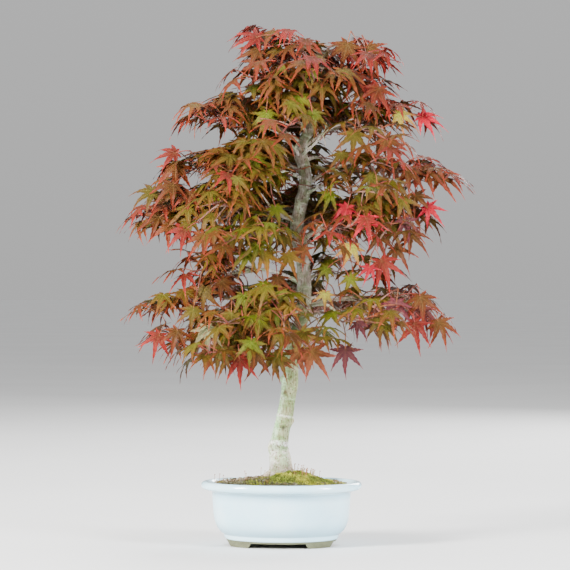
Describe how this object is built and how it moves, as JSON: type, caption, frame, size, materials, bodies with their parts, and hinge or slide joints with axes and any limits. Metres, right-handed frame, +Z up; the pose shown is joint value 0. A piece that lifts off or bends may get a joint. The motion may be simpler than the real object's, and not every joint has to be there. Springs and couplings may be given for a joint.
{
  "type": "deshojo japanese maple bonsai",
  "caption": "Upright Japanese maple bonsai with tiered orange-red palmate foliage on a slender curved trunk, rooted in an oval white glazed pot.",
  "frame": {"origin": "On the surface that the pot's feet stand on, under the middle of the whole plant's box. The pot's middle is a little to the left of it and in front of it, because the crown leans to the right and back.", "axes": "+X along the pot's long side, to the right seen from the front; +Y to the back; +Z up along the tree."},
  "size_m": [0.3642, 0.3032, 0.5231],
  "materials": {
    "glazed_pot": "glossy white glaze with a faint blue-green tint over a belt and unglazed cream feet",
    "soil": "matte granular mix of brown fired clay and grit",
    "moss": "soft matte yellow-green moss",
    "bark": "smooth pale green-grey bark, cream and mottled, with whitish node rings",
    "leaf_olive": "satin olive and yellow-green leaves with brown-red edges",
    "leaf_orange": "satin orange-brown leaves that turn red at the tips",
    "leaf_red": "satin red and crimson young leaves",
    "screen_net": "dark moulded net",
    "clip_wire": "bare annealed wire"
  },
  "bodies": {
    "root": {"pot": "glazed_pot", "soil": "soil", "moss": "moss", "drain_screen_left": "screen_net", "screen_clip_left": "clip_wire", "drain_screen_right": "screen_net", "screen_clip_right": "clip_wire", "trunk_and_branches": "bark", "leafy_shoot_01": "leaf_orange", "leafy_shoot_02": "leaf_orange", "leafy_shoot_03": "leaf_orange", "leafy_shoot_04": "leaf_orange", "leafy_shoot_05": "leaf_orange", "leafy_shoot_06": "leaf_orange", "leafy_shoot_07": "leaf_orange", "leafy_shoot_08": "leaf_orange", "leafy_shoot_09": "leaf_olive", "leafy_shoot_10": "leaf_olive", "leafy_shoot_11": "leaf_olive", "leafy_shoot_12": "leaf_olive", "leafy_shoot_13": "leaf_orange", "leafy_shoot_14": "leaf_orange", "leafy_shoot_15": "leaf_orange", "leafy_shoot_16": "leaf_orange", "leafy_shoot_17": "leaf_olive", "leafy_shoot_18": "leaf_orange", "leafy_shoot_19": "leaf_orange", "leafy_shoot_20": "leaf_orange", "leafy_shoot_21": "leaf_orange", "leafy_shoot_22": "leaf_orange", "leafy_shoot_23": "leaf_olive", "leafy_shoot_24": "leaf_olive", "leafy_shoot_25": "leaf_red", "leafy_shoot_26": "leaf_red", "leafy_shoot_27": "leaf_orange", "leafy_shoot_28": "leaf_orange", "leafy_shoot_29": "leaf_orange", "leafy_shoot_30": "leaf_orange", "leafy_shoot_31": "leaf_orange", "leafy_shoot_32": "leaf_orange", "leafy_shoot_33": "leaf_orange", "leafy_shoot_34": "leaf_orange", "leafy_shoot_35": "leaf_olive", "leafy_shoot_36": "leaf_olive", "leafy_shoot_37": "leaf_orange", "leafy_shoot_38": "leaf_orange", "leafy_shoot_39": "leaf_orange", "leafy_shoot_40": "leaf_orange", "leafy_shoot_41": "leaf_orange", "leafy_shoot_42": "leaf_orange", "leafy_shoot_43": "leaf_orange", "leafy_shoot_44": "leaf_orange", "leafy_shoot_45": "leaf_orange", "leafy_shoot_46": "leaf_orange", "leafy_shoot_47": "leaf_orange", "leafy_shoot_48": "leaf_orange", "leafy_shoot_49": "leaf_orange", "leafy_shoot_50": "leaf_orange", "leafy_shoot_51": "leaf_red", "leafy_shoot_52": "leaf_red"}
  },
  "joints": []
}
